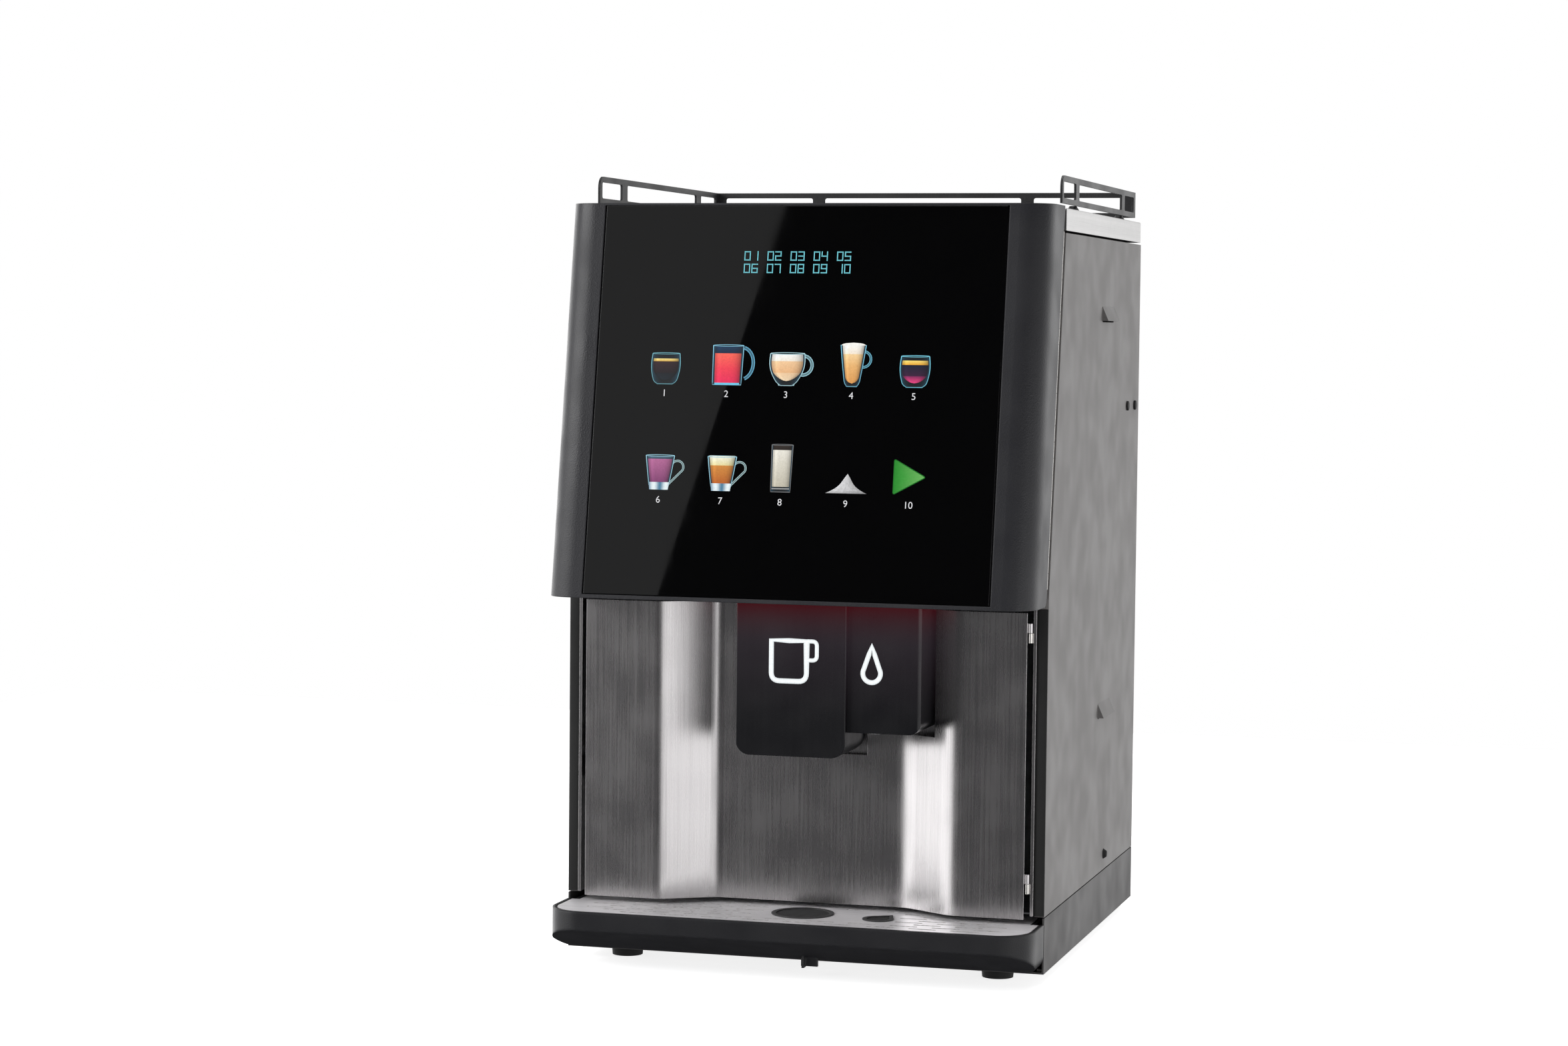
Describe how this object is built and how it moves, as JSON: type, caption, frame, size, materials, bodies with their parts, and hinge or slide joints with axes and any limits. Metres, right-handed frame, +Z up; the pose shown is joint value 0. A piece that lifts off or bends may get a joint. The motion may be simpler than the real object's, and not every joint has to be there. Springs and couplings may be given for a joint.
{
  "type": "coffee vending machine",
  "caption": "Tabletop hot coffee vending machine with a leaning hinged glass door, steel splash panel, dispense head, slide-out drip tray and lid with a cup rail.",
  "frame": {"origin": "under the middle of the machine, on the surface it stands on", "axes": "+X to the right seen from the front, +Y to the back, +Z up"},
  "size_m": [0.421, 0.4862, 0.661],
  "materials": {
    "panel_coat": "charcoal powder coat, satin, fine texture",
    "base_coat": "black powder coat, satin",
    "rubber_black": "matt black",
    "door_plastic": "moulded dark grey, leather grain",
    "front_glass": "gloss black back printed",
    "brushed_steel": "brushed, upright grain",
    "lid_steel": "fine brushed, bright",
    "rail_black": "black powder coat",
    "head_plastic": "satin black",
    "tray_plastic": "satin black",
    "insert_plastic": "black ribbed",
    "zinc_sheet": "galvanised sheet",
    "hinge_steel": "rolled stainless",
    "clear_plastic": "translucent moulded",
    "grey_plastic": "moulded grey",
    "board_green": "circuit board",
    "motor_black": "black motor can",
    "tube_silicone": "silicone hose",
    "float_red": "red float"
  },
  "bodies": {
    "cabinet": {"base_pan": "base_coat", "bean_grinder": "grey_plastic", "bean_hopper": "clear_plastic", "boiler": "brushed_steel", "brewer_frame": "grey_plastic", "cabinet_hinge_leaf": "hinge_steel", "cabinet_shelf": "zinc_sheet", "canister_lids": "grey_plastic", "canisters": "clear_plastic", "control_board": "board_green", "corner_trims": "brushed_steel", "cup_unit_cover": "head_plastic", "door_seal": "rubber_black", "drive_motors": "motor_black", "fan_housing": "motor_black", "feet": "rubber_black", "grinder_motor": "motor_black", "grounds_bin": "grey_plastic", "head_backplate": "brushed_steel", "header_tank": "clear_plastic", "lock_keeper": "zinc_sheet", "mains_inlet": "head_plastic", "mixing_bowls": "clear_plastic", "nozzles": "grey_plastic", "power_supply": "zinc_sheet", "product_tubes": "tube_silicone", "rear_panel": "panel_coat", "side_panel_left": "panel_coat", "side_panel_right": "panel_coat", "side_plugs": "rubber_black", "solenoid_valves": "motor_black", "splash_hinge_brackets": "hinge_steel", "water_inlet": "hinge_steel", "water_pump": "motor_black", "water_unit_cover": "head_plastic", "wet_liner": "zinc_sheet"},
    "door": {"door_frame": "door_plastic", "door_glass": "front_glass", "touch_board": "board_green", "door_back_cover": "grey_plastic", "lock_barrel": "hinge_steel", "door_hinge_leaf": "hinge_steel", "door_hinge_pin": "hinge_steel"},
    "lock_cam": {"lock_cam": "zinc_sheet"},
    "splash_panel": {"splash_panel": "brushed_steel"},
    "drip_tray": {"drip_tray": "tray_plastic", "tray_grille": "brushed_steel", "tray_inserts": "insert_plastic"},
    "tray_float": {"tray_float": "float_red"},
    "lid": {"lid": "lid_steel", "cup_rail": "rail_black"},
    "mains_rocker": {"mains_rocker": "insert_plastic"},
    "grinder_burr": {"grinder_burr": "hinge_steel"},
    "auger_1": {"auger_1": "clear_plastic"},
    "auger_2": {"auger_2": "clear_plastic"},
    "auger_3": {"auger_3": "clear_plastic"},
    "whipper_1": {"whipper_impeller_1": "grey_plastic"},
    "whipper_2": {"whipper_impeller_2": "grey_plastic"},
    "brewer_piston": {"brewer_piston": "grey_plastic"},
    "fan_rotor": {"fan_rotor": "motor_black"}
  },
  "joints": [
    {"name": "door_hinge", "type": "hinge", "parent": "cabinet", "child": "door", "pos_m": [0.2028, -0.15662, 0.4609], "axis": [0, 0.1686, 0.9857], "range_deg": [0, 110]},
    {"name": "lock_turn", "type": "hinge", "parent": "door", "child": "lock_cam", "pos_m": [-0.18, -0.1778, 0.46756], "axis": [1, 0, 0], "range_deg": [0, 90]},
    {"name": "splash_hinge", "type": "hinge", "parent": "cabinet", "child": "splash_panel", "pos_m": [0.191, -0.177, 0.18], "axis": [0, 0, 1], "range_deg": [0, 100]},
    {"name": "tray_slide", "type": "slide", "parent": "cabinet", "child": "drip_tray", "axis": [0, -1, 0], "range_m": [0, 0.14]},
    {"name": "float_rise", "type": "slide", "parent": "drip_tray", "child": "tray_float", "axis": [0, 0, 1], "range_m": [0, 0.012]},
    {"name": "lid_hinge", "type": "hinge", "parent": "cabinet", "child": "lid", "pos_m": [0, 0.2406, 0.6145], "axis": [-1, 0, 0], "range_deg": [0, 65]},
    {"name": "rocker_tip", "type": "hinge", "parent": "cabinet", "child": "mains_rocker", "pos_m": [0.15, 0.235, 0.105], "axis": [1, 0, 0], "range_deg": [-8, 8]},
    {"name": "burr_spin", "type": "hinge", "parent": "cabinet", "child": "grinder_burr", "pos_m": [-0.135, 0.015, 0.42], "axis": [0, 0, 1], "continuous": true},
    {"name": "auger_1_spin", "type": "hinge", "parent": "cabinet", "child": "auger_1", "pos_m": [-0.025, 0.006, 0.418], "axis": [0, 1, 0], "continuous": true},
    {"name": "auger_2_spin", "type": "hinge", "parent": "cabinet", "child": "auger_2", "pos_m": [0.05, 0.006, 0.418], "axis": [0, 1, 0], "continuous": true},
    {"name": "auger_3_spin", "type": "hinge", "parent": "cabinet", "child": "auger_3", "pos_m": [0.125, 0.006, 0.418], "axis": [0, 1, 0], "continuous": true},
    {"name": "whipper_1_spin", "type": "hinge", "parent": "cabinet", "child": "whipper_1", "pos_m": [0.02, -0.075, 0.244], "axis": [0, 1, 0], "continuous": true},
    {"name": "whipper_2_spin", "type": "hinge", "parent": "cabinet", "child": "whipper_2", "pos_m": [0.095, -0.075, 0.244], "axis": [0, 1, 0], "continuous": true},
    {"name": "piston_press", "type": "slide", "parent": "cabinet", "child": "brewer_piston", "axis": [0, 0, -1], "range_m": [0, 0.026]},
    {"name": "fan_spin", "type": "hinge", "parent": "cabinet", "child": "fan_rotor", "pos_m": [-0.13, 0.2255, 0.5], "axis": [0, 1, 0], "continuous": true}
  ]
}
